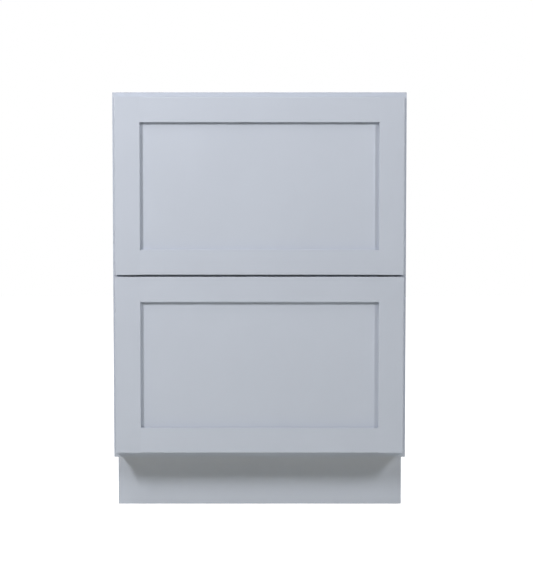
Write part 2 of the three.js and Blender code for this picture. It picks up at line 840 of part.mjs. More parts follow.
function lockingDevice(name) {
  const noseY = memberFrontY - restGap;
  const shape = outline([
    [lockX - lockNose, lockFrontY],
    [lockX + lockWidth - lockChamfer, lockFrontY],
    [lockX + lockWidth, lockFrontY + lockChamfer],
    [lockX + lockWidth, lockFrontY + lockLength - lockChamfer],
    [lockX + lockWidth - lockChamfer, lockFrontY + lockLength],
    [lockX, lockFrontY + lockLength],
    [lockX, noseY],
    [lockX - lockNose, noseY],
  ]);
  let body = solid(extrudedUp(shape, lockBottomZ, carriageTopZ));
  const bore = solid(uprightBar(pivotDiameter + 2 * restGap, 2 * (pivotHeight + restGap)));
  body = body.subtract(bore.translate([pivotX, pivotY, lockBottomZ]));
  const screwHole = solid(uprightBar(lockScrewHole, 4 * carriageTopZ));
  const screwX = lockX + lockWidth - lockScrewInset;
  for (const y of [lockFrontY + lockScrewInset, lockFrontY + lockLength - lockScrewInset]) {
    body = body.subtract(screwHole.translate([screwX, y, 0]));
  }
  const pocket = blockSolid(
    [lockX + lockRib, screwX - lockScrewInset],
    [pivotY + pivotDiameter / 2 + 2 * lockRib, lockFrontY + lockLength - lockRib],
    [lockBottomZ - 1, lockBottomZ + lockPocketDepth],
  );
  return namedMesh(name, body.subtract(pocket), lockPlastic);
}

// The release lever: a finger pad in front, an arm back to the pivot and a tooth that reaches
// the drawer member
function releaseLever(name) {
  const padFront = lockFrontY + restGap;
  const padBack = padFront + leverPadLength;
  const armLeft = pivotX - leverWidth / 2;
  const armRight = pivotX + leverWidth / 2;
  const padLeft = pivotX - leverPadWidth / 2;
  const padRight = pivotX + leverPadWidth / 2;
  const armEnd = pivotY + leverWidth / 2;
  const toothTip = lockX + restGap;
  const toothEnd = armEnd + leverToothLength;
  const shape = outline([
    [padLeft, padFront],
    [padRight, padFront],
    [padRight, padBack],
    [armRight, padBack + leverWidth / 2],
    [armRight, toothEnd],
    [toothTip, toothEnd],
    [toothTip, toothEnd - leverToothLength / 2],
    [armLeft, armEnd],
    [armLeft, padBack + leverWidth / 2],
    [padLeft, padBack],
  ]);
  const arm = solid(extrudedUp(shape, leverBottomZ, leverTopZ));
  const pivotLength = pivotHeight + leverThickness / 2;
  const pivot = solid(uprightBar(pivotDiameter, pivotLength));
  let lever = arm.add(pivot.translate([pivotX, pivotY, leverTopZ + pivotHeight - pivotLength / 2]));
  const ridgePitch = leverPadLength / (leverRidges + 1);
  for (let i = 1; i <= leverRidges; i += 1) {
    const ridgeY = padFront + i * ridgePitch;
    const groove = blockSolid(
      [padLeft - 1, padRight + 1],
      [ridgeY - leverRidgeWidth / 2, ridgeY + leverRidgeWidth / 2],
      [leverBottomZ - 1, leverBottomZ + leverRidgeDepth],
    );
    lever = lever.subtract(groove);
  }
  return namedMesh(name, lever, leverPlastic);
}

// Both runners of one drawer, with their brackets, locking devices and levers
function runnerPair(drawer) {
  const pair = new THREE.Group();
  for (const side of sides) {
    const runner = new THREE.Group();
    runner.position.x = side === 'left' ? -openingHalf : openingHalf;
    runner.scale.x = side === 'left' ? 1 : -1;
    runner.add(
      fixedRail(`${drawer}_runner_rail_${side}`),
      middleMember(`${drawer}_runner_middle_${side}`),
      drawerMember(`${drawer}_runner_drawer_member_${side}`),
      rearBracket(`${drawer}_runner_bracket_${side}`),
      lockingDevice(`${drawer}_locking_device_${side}`),
      releaseLever(`${drawer}_release_lever_${side}`),
    );
    pair.add(runner);
  }
  return pair;
}

// ---------------------------------------------------------------- the whole cabinet

// One drawer: its front hung on its box, and the box on its runners
function drawerUnit(drawer, openingZ, frontZ) {
  const unit = new THREE.Group();
  const box = drawerBox(drawer);
  box.position.z = openingZ + boxLift;
  const front = drawerFront(drawer, openingZ + boxLift - frontZ);
  front.position.z = frontZ;
  const runners = runnerPair(drawer);
  runners.position.z = openingZ;
  unit.add(box, front, runners);
  return unit;
}

const lowerFrontZ = toeKickHeight + frontBottomReveal;
const upperFrontZ = lowerFrontZ + frontHeight + frontGap;
const upperOpeningZ = middleRailZ + middleRailWidth;

const cabinet = new THREE.Group();
cabinet.name = 'base_cabinet_with_drawers';
cabinet.add(casePanels(), cornerBlocks(), toeKick(), faceFrame());
cabinet.add(drawerUnit('lower', floorZ, lowerFrontZ));
cabinet.add(drawerUnit('upper', upperOpeningZ, upperFrontZ));

export default cabinet;
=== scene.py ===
import json
import math

import bmesh
import bpy
from mathutils import Matrix, Vector

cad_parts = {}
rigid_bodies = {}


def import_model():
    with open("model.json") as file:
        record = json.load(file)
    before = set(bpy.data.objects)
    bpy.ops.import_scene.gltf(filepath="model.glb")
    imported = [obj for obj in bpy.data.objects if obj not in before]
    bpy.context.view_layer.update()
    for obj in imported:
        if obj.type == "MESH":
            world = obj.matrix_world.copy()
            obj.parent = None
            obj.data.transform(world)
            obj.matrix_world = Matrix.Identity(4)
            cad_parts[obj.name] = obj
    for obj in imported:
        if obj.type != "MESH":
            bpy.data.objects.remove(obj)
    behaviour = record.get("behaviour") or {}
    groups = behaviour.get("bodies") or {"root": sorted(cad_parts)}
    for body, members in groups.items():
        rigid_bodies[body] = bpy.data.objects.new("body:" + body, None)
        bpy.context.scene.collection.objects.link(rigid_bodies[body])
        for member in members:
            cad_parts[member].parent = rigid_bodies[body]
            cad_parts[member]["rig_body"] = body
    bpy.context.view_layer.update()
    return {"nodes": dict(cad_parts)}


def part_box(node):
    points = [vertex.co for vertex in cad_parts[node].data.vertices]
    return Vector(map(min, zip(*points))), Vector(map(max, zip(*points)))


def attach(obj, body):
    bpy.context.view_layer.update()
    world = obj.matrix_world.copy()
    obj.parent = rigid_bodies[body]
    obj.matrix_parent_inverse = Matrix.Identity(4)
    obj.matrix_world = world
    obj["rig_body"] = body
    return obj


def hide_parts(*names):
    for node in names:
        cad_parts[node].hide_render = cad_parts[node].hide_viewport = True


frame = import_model()
nodes = frame["nodes"]

# ------------------------------------------------------------------------------------------------
# The plywood case: two side panels, a bottom, a back, a hanging rail behind it and a support board
# under it. Birch-cored veneer plywood, sawn square, its sharp corners taken off with paper, glued
# into housings and grooves. The veneer shows on the faces and the plies on every sawn edge.

CASE_ARRIS = 0.0004  # metres taken off a sawn corner
PLY_THICKNESS = 0.0014
WOOD_BUMP = 0.00006
PLY_BUMP = 0.0001
VENEER_COAT = 0.12  # clear lacquer on the veneer
RING_PERIOD = 0.31416  # Blender's ring texture repeats every 0.31416 m at scale 1
FLAT_JOIN = math.radians(0.5)  # triangles that meet flatter than this are one face
FLAT_ENOUGH = 0.999  # a face whose normal lies this much along an axis isn't part of a rounding
SHARP_CORNER = math.radians(40)
VENEER_SIDE = 0.7  # a face that turns this much to the panel's side still shows veneer


def srgb(red, green, blue):
    """A colour as it looks on a screen, 0 to 255, in the linear values that a shader reads."""
    values = [part / 255 for part in (red, green, blue)]
    linear = [v / 12.92 if v <= 0.04045 else ((v + 0.055) / 1.055) ** 2.4 for v in values]
    return (*linear, 1)


def add(tree, kind, inputs=(), **settings):
    """A new shader node with its settings, and its inputs each given a value or a socket."""
    node = tree.nodes.new(kind)
    for setting, value in settings.items():
        setattr(node, setting, value)
    for key, value in dict(inputs).items():
        if isinstance(value, bpy.types.NodeSocket):
            tree.links.new(value, node.inputs[key])
        else:
            node.inputs[key].default_value = value
    return node


def maths(tree, operation, first, second=0.0, clamp=False):
    node = add(tree, "ShaderNodeMath", {0: first, 1: second}, operation=operation, use_clamp=clamp)
    return node.outputs[0]


def scaled(tree, vector, factors):
    node = add(tree, "ShaderNodeVectorMath", {0: vector, 1: factors}, operation="MULTIPLY")
    return node.outputs[0]


def noise(tree, vector, scale, detail=2.0, roughness=0.5):
    inputs = {"Vector": vector, "Scale": scale, "Detail": detail, "Roughness": roughness}
    return add(tree, "ShaderNodeTexNoise", inputs).outputs["Fac"]


def spun_out(tree, noisy, low, high):
    """A noise, which lies mostly between 0.3 and 0.7, drawn out over another range."""
    return ramped(tree, noisy, 0.3, 0.7, low, high)


def blended(tree, factor, first, second):
    node = add(tree, "ShaderNodeMix", {0: factor, 6: first, 7: second}, data_type="RGBA")
    return node.outputs[2]


def ramped(tree, value, low, high, to_low=0.0, to_high=1.0):
    inputs = {0: value, 1: low, 2: high, 3: to_low, 4: to_high}
    return add(tree, "ShaderNodeMapRange", inputs).outputs[0]


def effect(name, inputs, outputs):
    """An empty shader group: its tree, the sockets it is given and the sockets it has to fill."""
    tree = bpy.data.node_groups.new(name, "ShaderNodeTree")
    for socket, kind in inputs.items():
        tree.interface.new_socket(socket, in_out="INPUT", socket_type="NodeSocket" + kind)
    for socket, kind in outputs.items():
        tree.interface.new_socket(socket, in_out="OUTPUT", socket_type="NodeSocket" + kind)
    given = tree.nodes.new("NodeGroupInput").outputs
    return tree, given, tree.nodes.new("NodeGroupOutput").inputs


def fill(tree, sockets, **values):
    for name, value in values.items():
        tree.links.new(value, sockets[name])


def grain_effect():
    """Sawn or sliced wood with its grain along the vector's X: rings, fibres and pores."""
    inputs = {
        "Vector": "Vector",
        "Early_wood": "Color",
        "Late_wood": "Color",
        "Ring_width": "Float",
        "Ring_strength": "Float",
        "Wander": "Float",
        "Pores": "Float",
    }
    outputs = {"Color": "Color", "Roughness": "Float", "Height": "Float"}
    tree, given, made = effect("wood_grain", inputs, outputs)
    # Along the grain everything changes more slowly: rings 11 times, fibres 33 and pores 12
    along_rings = scaled(tree, given["Vector"], (0.09, 1, 1))
    along_fibres = scaled(tree, given["Vector"], (0.03, 1, 1))
    along_pores = scaled(tree, given["Vector"], (0.08, 1, 1))

    drift = add(tree, "ShaderNodeTexNoise", {"Vector": along_rings, "Scale": 7.0, "Detail": 3.0})
    from_mean = {0: drift.outputs["Color"], 1: (0.5, 0.5, 0.5)}
    centred = add(tree, "ShaderNodeVectorMath", from_mean, operation="SUBTRACT")
    amount = {0: centred.outputs[0], 3: given["Wander"]}
    wander = add(tree, "ShaderNodeVectorMath", amount, operation="SCALE")
    bent = add(tree, "ShaderNodeVectorMath", {0: along_rings, 1: wander.outputs[0]}, operation="ADD")
    rings = add(
        tree,
        "ShaderNodeTexWave",
        {
            "Vector": bent.outputs[0],
            "Scale": maths(tree, "DIVIDE", RING_PERIOD, given["Ring_width"]),
            "Distortion": 2.2,
            "Detail": 3.0,
            "Detail Scale": 0.7,
        },
        wave_type="RINGS",
        rings_direction="X",
        wave_profile="SAW",
    )
    late = maths(tree, "POWER", rings.outputs["Fac"], 2.6)
    late = maths(tree, "MULTIPLY", late, given["Ring_strength"])

    fibres = noise(tree, along_fibres, scale=900.0, detail=3.0, roughness=0.6)
    clouds = noise(tree, along_rings, scale=14.0)
    tone = maths(tree, "ADD", late, spun_out(tree, fibres, -0.16, 0.16))
    tone = maths(tree, "ADD", tone, spun_out(tree, clouds, 0.0, 0.35), clamp=True)
    wood = blended(tree, tone, given["Early_wood"], given["Late_wood"])

    specks = noise(tree, along_pores, scale=2600.0, detail=1.0)
    pores = maths(tree, "MULTIPLY", ramped(tree, specks, 0.62, 0.7), given["Pores"])
    dark = add(tree, "ShaderNodeHueSaturation", {"Value": 0.6, "Color": given["Late_wood"]})
    fill(
        tree,
        made,
        Color=blended(tree, pores, wood, dark.outputs[0]),
        Roughness=spun_out(tree, fibres, 0.48, 0.62),
        Height=maths(tree, "SUBTRACT", spun_out(tree, fibres, 0.0, 0.4), pores),
    )
    return tree


def plies_effect():
    """A sawn plywood edge: plies with and across the grain by turns, and thin dark glue lines."""
    inputs = {
        "Vector": "Vector",
        "Across": "Float",
        "With_grain": "Color",
        "End_grain": "Color",
        "Glue": "Color",
    }
    outputs = {"Color": "Color", "Roughness": "Float", "Height": "Float"}
    tree, given, made = effect("plywood_plies", inputs, outputs)
    waver = noise(tree, given["Vector"], scale=55.0)
    count = maths(tree, "DIVIDE", given["Across"], PLY_THICKNESS)
    count = maths(tree, "ADD", count, spun_out(tree, waver, -0.09, 0.09))
    crossing = maths(tree, "FLOORED_MODULO", maths(tree, "FLOOR", count), 2.0)
    plies = blended(tree, crossing, given["With_grain"], given["End_grain"])

    from_middle = maths(tree, "ABSOLUTE", maths(tree, "SUBTRACT", maths(tree, "FRACT", count), 0.5))
    glued = maths(tree, "MULTIPLY", ramped(tree, from_middle, 0.42, 0.48), 0.7)
    fibres = noise(tree, given["Vector"], scale=1100.0, detail=3.0, roughness=0.65)
    shade = {"Value": spun_out(tree, fibres, 0.86, 1.12), "Color": plies}
    shaded = add(tree, "ShaderNodeHueSaturation", shade)
    fill(
        tree,
        made,
        Color=blended(tree, glued, shaded.outputs[0], given["Glue"]),
        Roughness=spun_out(tree, fibres, 0.62, 0.8),
        Height=maths(tree, "SUBTRACT", fibres, maths(tree, "MULTIPLY", crossing, 0.5)),
    )
    return tree


wood_grain = grain_effect()
plywood_plies = plies_effect()


def surface(name, group, values, bump, placed=None, **shader):
    """A material: one effect group on a Principled shader. bump is its relief in metres."""
    material = bpy.data.materials.new(name)
    material.use_nodes = True
    tree = material.node_tree
    tree.nodes.clear()
    point = add(tree, "ShaderNodeTexCoord").outputs["Object"]
    mapped = add(tree, "ShaderNodeMapping", {"Vector": point, **(placed or {})}).outputs[0]
    texture = add(tree, "ShaderNodeGroup", node_tree=group)
    tree.links.new(mapped, texture.inputs["Vector"])
    for key, value in values.items():
        if key == "Across":
            tree.links.new(across(tree, point, *value), texture.inputs[key])
        else:
            texture.inputs[key].default_value = value
    height = {"Height": texture.outputs["Height"], "Strength": 1.0, "Distance": bump}
    inputs = {
        "Base Color": texture.outputs["Color"],
        "Roughness": texture.outputs["Roughness"],
        "Normal": add(tree, "ShaderNodeBump", height).outputs[0],
    }
    inputs.update({key.replace("_", " "): value for key, value in shader.items()})
    principled = add(tree, "ShaderNodeBsdfPrincipled", inputs)
    add(tree, "ShaderNodeOutputMaterial", {"Surface": principled.outputs[0]})
    return material


def across(tree, point, axis, start):
    """How deep a point is in a panel, for the plies. The two side panels mirror each other."""
    parts = add(tree, "ShaderNodeSeparateXYZ", {0: point}).outputs
    return maths(tree, "SUBTRACT", maths(tree, "ABSOLUTE", parts["XYZ".index(axis)]), start)


# Turns that lay a board's length along the grain effect's X
GRAIN_TURN = {"X": (0, 0, 0), "Y": (0, 0, -math.pi / 2), "Z": (0, math.pi / 2, 0)}


def wood(name, along, seed, early, late, ring_width, ring_strength, wander, pores, coat):
    """A wood material for boards that lie along one axis. The seed picks another part of the tree."""
    from_heart = (0.37 * seed, 0.11 + 0.023 * (seed % 5), 0.16 + 0.017 * (seed % 7))
    values = {
        "Early_wood": early,
        "Late_wood": late,
        "Ring_width": ring_width,
        "Ring_strength": ring_strength,
        "Wander": wander,
        "Pores": pores,
    }
    placed = {"Rotation": GRAIN_TURN[along], "Location": from_heart}
    return surface(name, wood_grain, values, WOOD_BUMP, placed, Coat_Weight=coat, Coat_Roughness=0.3)


def veneer(name, along, seed, coat=VENEER_COAT):
    return wood(
        name,
        along,
        seed,
        early=srgb(229, 211, 179),
        late=srgb(209, 183, 144),
        ring_width=0.02,
        ring_strength=0.38,
        wander=0.08,
        pores=0.3,
        coat=coat,
    )


def sawn_edge(name, axis, start):
    values = {
        "Across": (axis, start),
        "With_grain": srgb(219, 193, 151),
        "End_grain": srgb(177, 141, 99),
        "Glue": srgb(98, 70, 46),
    }
    return surface(name, plywood_plies, values, PLY_BUMP)


def copy_of(node):
    """A CAD node's shape with its loose triangles joined and its flat faces made whole."""
    shape = bmesh.new()
    shape.from_mesh(nodes[node].data)
    bmesh.ops.remove_doubles(shape, verts=shape.verts, dist=1e-6)
    bmesh.ops.dissolve_limit(shape, angle_limit=FLAT_JOIN, verts=shape.verts, edges=shape.edges)
    return shape


def ease(shape, width, segments=2, wanted=None):
    """Rounds the sharp corners over, or only those that are wanted."""
    sharp = [
        edge
        for edge in shape.edges
        if len(edge.link_faces) == 2
        and edge.calc_face_angle() > SHARP_CORNER
        and (wanted is None or wanted(edge))
    ]
    bmesh.ops.bevel(
        shape,
        geom=sharp,
        offset=width,
        offset_type="OFFSET",
        affect="EDGES",
        segments=segments,
        profile=0.5,
        material=-1,
        clamp_overlap=True,
    )


def lay(shape, name, body, materials, choose=None):
    """Makes the finished piece. choose says which of the materials a face has."""
    shape.normal_update()
    for face in shape.faces:
        face.smooth = max(abs(part) for part in face.normal) < FLAT_ENOUGH
        if choose:
            face.material_index = choose(face)
    mesh = bpy.data.meshes.new(name)
    shape.to_mesh(mesh)
    shape.free()
    for material in materials:
        mesh.materials.append(material)
    piece = bpy.data.objects.new(name, mesh)
    bpy.context.scene.collection.objects.link(piece)
    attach(piece, body)
    return piece


def dress(node, finish, materials, arris, choose=None):
    """Stands an eased copy in its final finish in for a CAD node."""
    shape = copy_of(node)
    if arris:
        ease(shape, arris)
    piece = lay(shape, f"{node}_{finish}", nodes[node]["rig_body"], materials, choose)
    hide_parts(node)


def face_or_edge(axis):
    """0 for a panel's two faces, and 1 for its sawn edges."""
    index = "xyz".index(axis)
    return lambda face: 0 if abs(face.normal[index]) > VENEER_SIDE else 1


side_inner_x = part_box("side_panel_right")[0].x
case_panels = [
    ("side_panel_left", "x", "Z"),
    ("side_panel_right", "x", "Z"),
    ("bottom_panel", "z", "X"),
    ("back_panel", "y", "Z"),
    ("hanging_rail", "y", "X"),
    ("toe_kick_support", "y", "X"),
]
for number, (node, thin, along) in enumerate(case_panels):
    start = side_inner_x if thin == "x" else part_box(node)[0]["xyz".index(thin)]
    faces = veneer(f"{node}_veneer", along, number + 1)
    edges = sawn_edge(f"{node}_plies", thin.upper(), start)
    dress(node, "veneered", [faces, edges], CASE_ARRIS, choose=face_or_edge(thin))

# ------------------------------------------------------------------------------------------------
# The corner blocks: triangles of the same plywood, glued into the four top corners and stapled.
# They keep the case square, and a screw up through each one's hole holds the worktop down.

FIRST_BLOCK_SEED = 11
corners = ("front_left", "front_right", "rear_right", "rear_left")

for number, corner in enumerate(corners):
    node = f"corner_block_{corner}"
    faces = veneer(f"{node}_veneer", "X", number + FIRST_BLOCK_SEED, coat=0)
    edges = sawn_edge(f"{node}_plies", "Z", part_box(node)[0].z)
    dress(node, "veneered", [faces, edges], CASE_ARRIS, choose=face_or_edge("z"))

# ------------------------------------------------------------------------------------------------
# The face frame and the toe-kick board: hardwood stiles and rails, tenoned and glued flush, and a
# thin board glued over the toe-kick support. All are sprayed with the same satin lacquer, a light
# cool grey, through which the fibres hardly show.

PAINT = srgb(188, 194, 205)
PAINT_BUMP = 0.00003
FRAME_ARRIS = 0.0006
TOE_BOARD_ARRIS = 0.0005
GLUE_LINE = 0.0001  # the gap between glued pieces in the solids, which the lacquer fills
SAME_PLACE = 0.00001  # points nearer than this along an axis are level with each other


def lacquer_effect():
    """Sprayed satin lacquer: orange peel, a faint cloudiness, and the fibres of the wood below."""
    inputs = {"Vector": "Vector", "Paint": "Color", "Fibres": "Float"}
    outputs = {"Color": "Color", "Roughness": "Float", "Height": "Float"}
    tree, given, made = effect("satin_lacquer", inputs, outputs)
    clouds = noise(tree, given["Vector"], scale=6.0, detail=3.0)
    peel = noise(tree, given["Vector"], scale=650.0, detail=1.0)
    along = scaled(tree, given["Vector"], (0.025, 1, 1))
    fibres = noise(tree, along, scale=1000.0, detail=3.0, roughness=0.6)
    shown = maths(tree, "MULTIPLY", maths(tree, "SUBTRACT", fibres, 0.5), given["Fibres"])

    streaks = maths(tree, "MULTIPLY", shown, 0.05)
    shade = maths(tree, "ADD", spun_out(tree, clouds, 0.985, 1.015), streaks)
    painted = add(tree, "ShaderNodeHueSaturation", {"Value": shade, "Color": given["Paint"]})
    dimples = maths(tree, "MULTIPLY", peel, 0.05)
    fill(
        tree,
        made,
        Color=painted.outputs[0],
        Roughness=maths(tree, "ADD", spun_out(tree, clouds, 0.4, 0.46), dimples),
        Height=maths(tree, "ADD", maths(tree, "MULTIPLY", peel, 0.6), shown),
    )
    return tree


satin_lacquer = lacquer_effect()


def lacquered(name, along, fibres):
    """Lacquer on wood that lies along one axis. fibres says how much of the wood shows through."""
    values = {"Paint": PAINT, "Fibres": fibres}
    return surface(name, satin_lacquer, values, PAINT_BUMP, {"Rotation": GRAIN_TURN[along]})


upright_paint = lacquered("paint_on_upright_wood", "Z", fibres=0.8)
level_paint = lacquered("paint_on_level_wood", "X", fibres=0.8)


def glued_frame(stiles, rails, openings, arris, inner_arris):
    """Finishes one glued frame: closed at its joints, and eased at the corners that stay free."""
    face_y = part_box(stiles[0])[0].y
    joint_x = min(abs(corner.x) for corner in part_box(stiles[0]))
    heights = [height for opening in openings for height in opening]

    def joined(edge):
        at_joint = all(abs(abs(vert.co.x) - joint_x) < 1.5 * GLUE_LINE for vert in edge.verts)
        middle_z = (edge.verts[0].co.z + edge.verts[1].co.z) / 2
        return at_joint and not any(low < middle_z < high for low, high in openings)

    def round_opening(edge):
        if joined(edge) or any(abs(vert.co.y - face_y) > SAME_PLACE for vert in edge.verts):
            return False
        if all(abs(abs(vert.co.x) - joint_x) < SAME_PLACE for vert in edge.verts):
            return True
        return any(all(abs(vert.co.z - height) < SAME_PLACE for vert in edge.verts) for height in heights)

    for node in stiles + rails:
        shape = copy_of(node)
        if node in stiles:
            # Cut across where an opening starts, so that the easing can stop there
            for height in heights:
                whole = shape.verts[:] + shape.edges[:] + shape.faces[:]
                at, upwards = (0, 0, height), (0, 0, 1)
                bmesh.ops.bisect_plane(shape, geom=whole, dist=1e-6, plane_co=at, plane_no=upwards)
        else:
            # The rail's shoulders close up on the stiles
            for vert in shape.verts:
                if abs(abs(vert.co.x) - joint_x + GLUE_LINE) < SAME_PLACE:
                    vert.co.x += math.copysign(GLUE_LINE, vert.co.x)
        ease(shape, arris, wanted=lambda edge: not joined(edge) and not round_opening(edge))
        ease(shape, inner_arris, wanted=round_opening)
        paint = upright_paint if node in stiles else level_paint
        piece = lay(shape, f"{node}_painted", nodes[node]["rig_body"], [paint])
        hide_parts(node)


face_openings = [
    (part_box("face_rail_bottom")[1].z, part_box("face_rail_middle")[0].z),
    (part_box("face_rail_middle")[1].z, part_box("face_rail_top")[0].z),
]
face_rails = [f"face_rail_{height}" for height in ("top", "middle", "bottom")]
glued_frame(["face_stile_left", "face_stile_right"], face_rails, face_openings, FRAME_ARRIS, FRAME_ARRIS)
dress("toe_kick_board", "painted", [level_paint], TOE_BOARD_ARRIS)

# ------------------------------------------------------------------------------------------------
# The side skins: a hard painted film pressed on the outer face of each side panel, in the colour of
# the front, cut to the panel's outline with its toe-kick notch.

SKIN_THICKNESS = 0.0005
SKIN_ARRIS = 0.00015
OUTER_FACE = 0.9  # how much of an outer face's normal points outwards
smooth_paint = lacquered("paint_on_board", "Z", fibres=0.12)

for side, outward in (("left", -1), ("right", 1)):
    skin = copy_of(f"side_panel_{side}")
    spare = [face for face in skin.faces if face.normal.x * outward < OUTER_FACE]
    bmesh.ops.delete(skin, geom=spare, context="FACES")
    loose = [vert for vert in skin.verts if not vert.link_faces]
    bmesh.ops.delete(skin, geom=loose, context="VERTS")
    grown = bmesh.ops.extrude_face_region(skin, geom=skin.faces[:])
    lifted = [item for item in grown["geom"] if isinstance(item, bmesh.types.BMVert)]
    bmesh.ops.translate(skin, verts=lifted, vec=(outward * SKIN_THICKNESS, 0, 0))
    bmesh.ops.recalc_face_normals(skin, faces=skin.faces)
    ease(skin, SKIN_ARRIS, segments=1)
    lay(skin, f"side_skin_{side}", "cabinet", [smooth_paint])

# ------------------------------------------------------------------------------------------------
# The drawer fronts: five pieces each, a square-edged frame of two stiles and two rails round a flat
# panel set back in a groove. Glued up first and sprayed as one, so the joints hardly show.

FRONT_ARRIS = 0.0002
RECESS_ARRIS = 0.0004
PANEL_ARRIS = 0.0003

for drawer in ("lower", "upper"):
    front_stiles = [f"{drawer}_front_stile_left", f"{drawer}_front_stile_right"]
    front_rails = [f"{drawer}_front_rail_bottom", f"{drawer}_front_rail_top"]
    recess = (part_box(front_rails[0])[1].z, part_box(front_rails[1])[0].z)
    glued_frame(front_stiles, front_rails, [recess], FRONT_ARRIS, RECESS_ARRIS)
    dress(f"{drawer}_front_panel", "painted", [smooth_paint], PANEL_ARRIS)

# ------------------------------------------------------------------------------------------------
# The drawer boxes: solid maple boards with their top edges rounded, dovetailed at the corners and
# sanded flush, round a plywood bottom in a groove. Clear satin lacquer all over.

MAPLE_COAT = 0.4
END_GRAIN_COAT = 0.1
BOARD_CONTRAST = 0.025  # how much lighter or darker than the mean a board may be
BOARD_END = 0.9  # how much of an end's normal lies along the board
FIRST_BOARD_SEED = 3
FIRST_BOTTOM_SEED = 21


def maple(name, along, seed):
    """Long grain. Boards differ a little in how light they are."""
    shade = 1 + BOARD_CONTRAST * math.sin(2.3 * seed)
    return wood(
        name,
        along,
        seed,
        early=srgb(237 * shade, 219 * shade, 188 * shade),
        late=srgb(211 * shade, 183 * shade, 144 * shade),
        ring_width=0.0095,
        ring_strength=0.42,
        wander=0.07,
        pores=0.45,
        coat=MAPLE_COAT,
    )


def maple_end(name, along, seed):
    """The ends of the same boards, where the open fibres take up more lacquer and go darker."""
    return wood(
        name,
        along,
        seed,
        early=srgb(213, 184, 143),
        late=srgb(176, 140, 99),
        ring_width=0.003,
        ring_strength=0.7,
        wander=0.03,
        pores=0.8,
        coat=END_GRAIN_COAT,
    )


def side_or_end(along):
    """0 for a board's faces and edges, and 1 for its ends."""
    index = "XYZ".index(along)
    return lambda face: 1 if abs(face.normal[index]) > BOARD_END else 0


box_boards = [("side_left", "Y"), ("side_right", "Y"), ("front", "X"), ("back", "X")]
seed = FIRST_BOARD_SEED

for number, drawer in enumerate(("lower", "upper")):
    for board, along in box_boards:
        node = f"{drawer}_box_{board}"
        long_grain = maple(f"{node}_long_grain", along, seed)
        end_grain = maple_end(f"{node}_end_grain", along, seed)
        dress(node, "maple", [long_grain, end_grain], arris=0, choose=side_or_end(along))
        seed += 1
    bottom = veneer(f"{drawer}_box_bottom_veneer", "X", FIRST_BOTTOM_SEED + number)
    dress(f"{drawer}_box_bottom", "veneered", [bottom], arris=0)

# ------------------------------------------------------------------------------------------------
# The runners: three lengths of rolled steel strip a side, one inside the other, bright zinc plated
# and passivated, with the corners of the strip rounded by the rolls.

ZINC_BUMP = 0.00001
RUNNER_ARRIS = 0.0003


def zinc_effect():
    """Bright zinc on rolled strip: fine lines along the strip and faint patches of the plating."""
    inputs = {"Vector": "Vector", "Metal": "Color", "Tint": "Color"}
    outputs = {"Color": "Color", "Roughness": "Float", "Height": "Float"}
    tree, given, made = effect("zinc_plate", inputs, outputs)
    lines = noise(tree, scaled(tree, given["Vector"], (0.02, 1, 1)), scale=1800.0)
    patches = noise(tree, given["Vector"], scale=45.0, detail=3.0)
    specks = noise(tree, given["Vector"], scale=900.0)
    plated = blended(tree, ramped(tree, patches, 0.35, 0.65), given["Metal"], given["Tint"])
    shade = {"Value": spun_out(tree, lines, 0.93, 1.05), "Color": plated}
    worn = add(tree, "ShaderNodeHueSaturation", shade)
    dull_specks = maths(tree, "MULTIPLY", specks, 0.12)
    rough = maths(tree, "ADD", spun_out(tree, patches, 0.24, 0.36), dull_specks)
    fill(tree, made, Color=worn.outputs[0], Roughness=rough, Height=maths(tree, "ADD", lines, specks))
    return tree


zinc_plate = zinc_effect()


def zinc(name, along):
    values = {"Metal": srgb(212, 215, 218), "Tint": srgb(199, 205, 212)}
    return surface(name, zinc_plate, values, ZINC_BUMP, {"Rotation": GRAIN_TURN[along]}, Metallic=1.0)


rolled_zinc = zinc("zinc_on_rolled_strip", "Y")
runners = [(drawer, side) for drawer in ("lower", "upper") for side in ("left", "right")]

for drawer, side in runners:
    for member in ("rail", "middle", "drawer_member"):
        dress(f"{drawer}_runner_{member}_{side}", "zinc", [rolled_zinc], RUNNER_ARRIS)

# ------------------------------------------------------------------------------------------------
# The rear brackets, locking devices and release levers: moulded nylon, each with the fine matt
# texture of its mould and small rounded corners.

PLASTIC_BUMP = 0.00004
MOULDED_ARRIS = 0.0005


def moulded_effect():
    """Moulded plastic: the fine spark texture of the mould and faint flow marks."""
    inputs = {"Vector": "Vector", "Plastic": "Color"}
    outputs = {"Color": "Color", "Roughness": "Float", "Height": "Float"}
    tree, given, made = effect("moulded_plastic", inputs, outputs)
    spark = noise(tree, given["Vector"], scale=2200.0)
    flow = noise(tree, scaled(tree, given["Vector"], (1, 0.3, 1)), scale=60.0)
    shade = {"Value": spun_out(tree, flow, 0.96, 1.04), "Color": given["Plastic"]}
    plastic = add(tree, "ShaderNodeHueSaturation", shade)
    rough = maths(tree, "ADD", spun_out(tree, flow, 0.42, 0.5), maths(tree, "MULTIPLY", spark, 0.12))
    fill(tree, made, Color=plastic.outputs[0], Roughness=rough, Height=spark)
    return tree


moulded_plastic = moulded_effect()


def moulded(name, colour):
    return surface(name, moulded_plastic, {"Plastic": colour}, PLASTIC_BUMP)


mouldings = [
    ("runner_bracket", "bracket_plastic", moulded("nylon_off_white", srgb(217, 218, 214))),
    ("locking_device", "lock_plastic", moulded("nylon_grey", srgb(141, 146, 150))),
    ("release_lever", "lever_plastic", moulded("nylon_dark_grey", srgb(88, 95, 101))),
]
for drawer, side in runners:
    for moulding, slot, nylon in mouldings:
        dress(f"{drawer}_{moulding}_{side}", "moulded", [nylon], MOULDED_ARRIS)

# ------------------------------------------------------------------------------------------------
# The screws: zinc-plated pan heads with a cross recess. Four hold each drawer front on its box from
# inside, one holds each rail's front end on its stile, two hold each bracket on the back, and two
# hold each locking device under the drawer's bottom.

